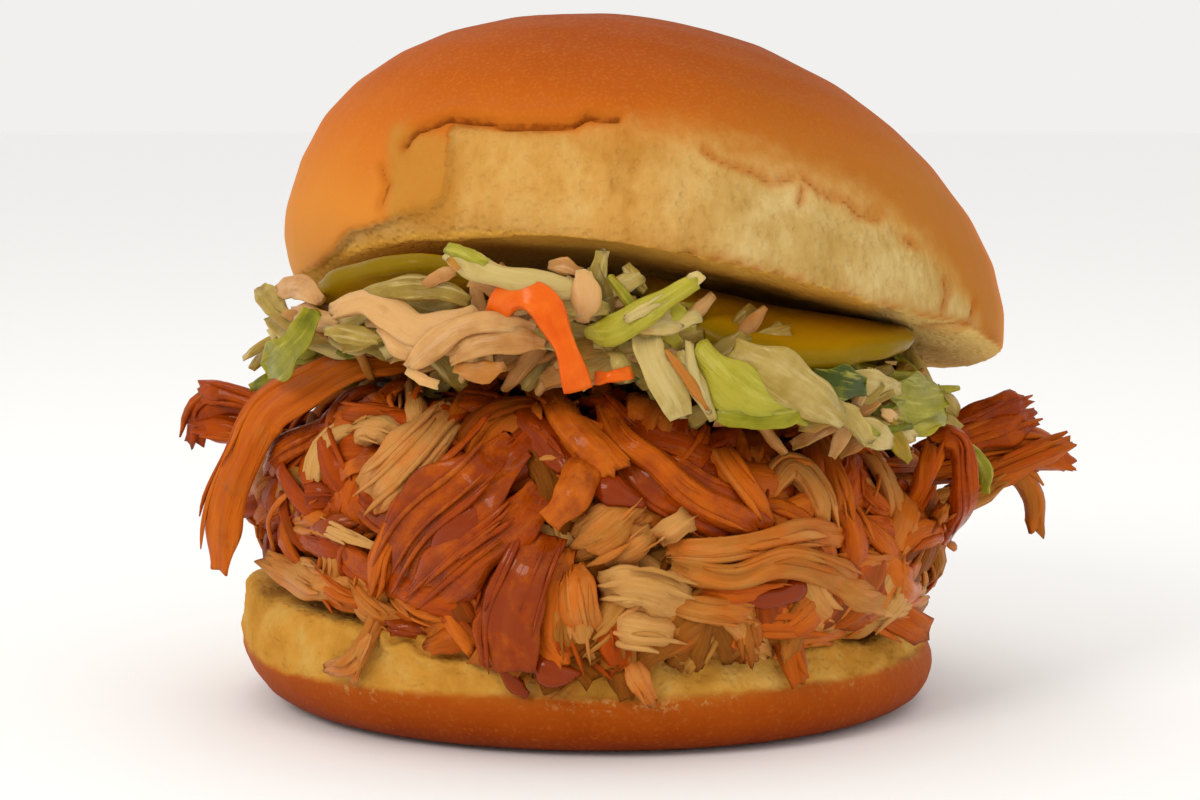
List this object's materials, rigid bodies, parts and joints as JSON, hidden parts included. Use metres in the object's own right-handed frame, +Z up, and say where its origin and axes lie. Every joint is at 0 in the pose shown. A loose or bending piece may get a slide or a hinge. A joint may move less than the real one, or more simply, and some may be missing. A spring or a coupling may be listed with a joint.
{
  "type": "pulled pork sandwich",
  "caption": "Round soft bun split and filled with a wide heap of sauced pulled pork, cabbage slaw, carrot and pickle slices, its upper half leaning back.",
  "frame": {"origin": "middle of the flat base of the lower bun half, on the surface that it stands on", "axes": "+Z up, +X to the right across the sandwich, -Y the side that faces the viewer"},
  "size_m": [0.1383, 0.1176, 0.104],
  "materials": {
    "crust": "baked crust, orange-brown, soft satin, with pale torn crumb at the front",
    "pork": "shredded meat, tan to amber, wet with red-brown sauce",
    "cabbage": "shredded cabbage, cream to light green, moist",
    "carrot": "raw carrot, bright orange, moist",
    "pickle": "pickled cucumber, dark olive green, wet and slightly translucent"
  },
  "bodies": {
    "root": {"bun_heel": "crust", "bun_crown": "crust", "pulled_pork": "pork", "cabbage_slaw": "cabbage", "carrot_strip": "carrot", "pickle_left": "pickle", "pickle_right": "pickle"}
  },
  "joints": []
}
